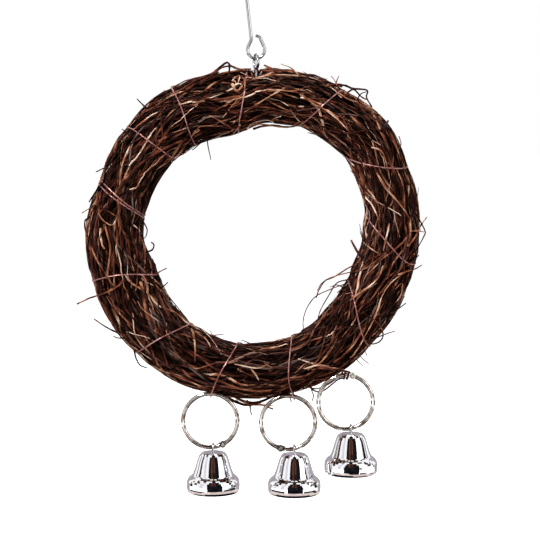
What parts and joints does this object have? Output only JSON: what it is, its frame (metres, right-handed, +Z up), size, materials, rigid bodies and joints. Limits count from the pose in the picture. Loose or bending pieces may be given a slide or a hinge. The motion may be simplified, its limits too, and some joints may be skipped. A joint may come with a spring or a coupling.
{
  "type": "bird swing",
  "caption": "Wreath of wound vines that hangs from a wire hook as a perch swing for a small cage bird, with flared bells on hinged rings below it.",
  "frame": {"origin": "top of the inside of the hanger's crook, where the cage bar bears", "axes": "+Z up, +X right and +Y back for someone who looks at the front, the side where the rings hang; the wreath's circle lies in the XZ plane"},
  "size_m": [0.1659, 0.0406, 0.2591],
  "materials": {
    "steel_wire": "bright bent steel wire",
    "dark_vine": "dark bark in shadow, matt",
    "vine": "dark brown bark, dull sheen",
    "pale_vine": "red-brown bark, dull sheen",
    "copper_wire": "thin pinkish copper-coloured wire, satin",
    "nickel": "nickel plate, polished",
    "bell_chrome": "bright chrome plate, polished",
    "clapper_steel": "plain bright steel"
  },
  "bodies": {
    "hanger": {"hanger_hook": "steel_wire"},
    "wreath": {"screw_eye": "steel_wire", "vine_core": "dark_vine", "vine_1": "vine", "vine_2": "vine", "vine_3": "vine", "vine_4": "vine", "vine_5": "pale_vine", "vine_6": "pale_vine", "vine_7": "pale_vine", "vine_8": "pale_vine", "vine_loop": "pale_vine", "binding_wire": "copper_wire"},
    "ring_1": {"ring_1_half": "nickel", "ring_1_rivet": "steel_wire"},
    "gate_1": {"ring_1_gate": "nickel"},
    "bell_1": {"bell_1_shell": "bell_chrome", "bell_1_link": "steel_wire"},
    "clapper_1": {"clapper_1": "clapper_steel"},
    "ring_2": {"ring_2_half": "nickel", "ring_2_rivet": "steel_wire"},
    "gate_2": {"ring_2_gate": "nickel"},
    "bell_2": {"bell_2_shell": "bell_chrome", "bell_2_link": "steel_wire"},
    "clapper_2": {"clapper_2": "clapper_steel"},
    "ring_3": {"ring_3_half": "nickel", "ring_3_rivet": "steel_wire"},
    "gate_3": {"ring_3_gate": "nickel"},
    "bell_3": {"bell_3_shell": "bell_chrome", "bell_3_link": "steel_wire"},
    "clapper_3": {"clapper_3": "clapper_steel"}
  },
  "joints": [
    {"name": "wreath_swing", "type": "hinge", "parent": "hanger", "child": "wreath", "pos_m": [-0.0001, 0, -0.04134], "axis": [1, 0, 0], "range_deg": [-45, 45]},
    {"name": "ring_1_swing", "type": "hinge", "parent": "wreath", "child": "ring_1", "pos_m": [-0.02192, -0.00963, -0.20728], "axis": [1, 0, 0], "range_deg": [-55, 20]},
    {"name": "ring_1_open", "type": "hinge", "parent": "ring_1", "child": "gate_1", "pos_m": [-0.01685, -0.00963, -0.23286], "axis": [0, -1, 0], "range_deg": [0, 35]},
    {"name": "bell_1_swing", "type": "hinge", "parent": "gate_1", "child": "bell_1", "pos_m": [-0.02166, -0.00963, -0.23427], "axis": [1, 0, 0], "range_deg": [-50, 50]},
    {"name": "clapper_1_swing", "type": "hinge", "parent": "bell_1", "child": "clapper_1", "pos_m": [-0.02166, -0.00963, -0.23971], "axis": [0, 1, 0], "range_deg": [-34, 34]},
    {"name": "ring_2_swing", "type": "hinge", "parent": "wreath", "child": "ring_2", "pos_m": [0.01833, -0.00862, -0.20877], "axis": [1, 0, 0], "range_deg": [-55, 20]},
    {"name": "ring_2_open", "type": "hinge", "parent": "ring_2", "child": "gate_2", "pos_m": [0.0121, -0.00862, -0.23512], "axis": [0, -1, 0], "range_deg": [-35, 0]},
    {"name": "bell_2_swing", "type": "hinge", "parent": "gate_2", "child": "bell_2", "pos_m": [0.01893, -0.00862, -0.23528], "axis": [1, 0, 0], "range_deg": [-50, 50]},
    {"name": "clapper_2_swing", "type": "hinge", "parent": "bell_2", "child": "clapper_2", "pos_m": [0.01893, -0.00862, -0.24073], "axis": [0, 1, 0], "range_deg": [-34, 34]},
    {"name": "ring_3_swing", "type": "hinge", "parent": "wreath", "child": "ring_3", "pos_m": [0.04757, -0.01118, -0.19798], "axis": [1, 0, 0], "range_deg": [-45, 20]},
    {"name": "ring_3_open", "type": "hinge", "parent": "ring_3", "child": "gate_3", "pos_m": [0.04757, -0.01118, -0.19798], "axis": [0, -1, 0], "range_deg": [0, 35]},
    {"name": "bell_3_swing", "type": "hinge", "parent": "gate_3", "child": "bell_3", "pos_m": [0.04708, -0.01118, -0.22444], "axis": [1, 0, 0], "range_deg": [-50, 50]},
    {"name": "clapper_3_swing", "type": "hinge", "parent": "bell_3", "child": "clapper_3", "pos_m": [0.04708, -0.01118, -0.22988], "axis": [0, 1, 0], "range_deg": [-34, 34]}
  ]
}
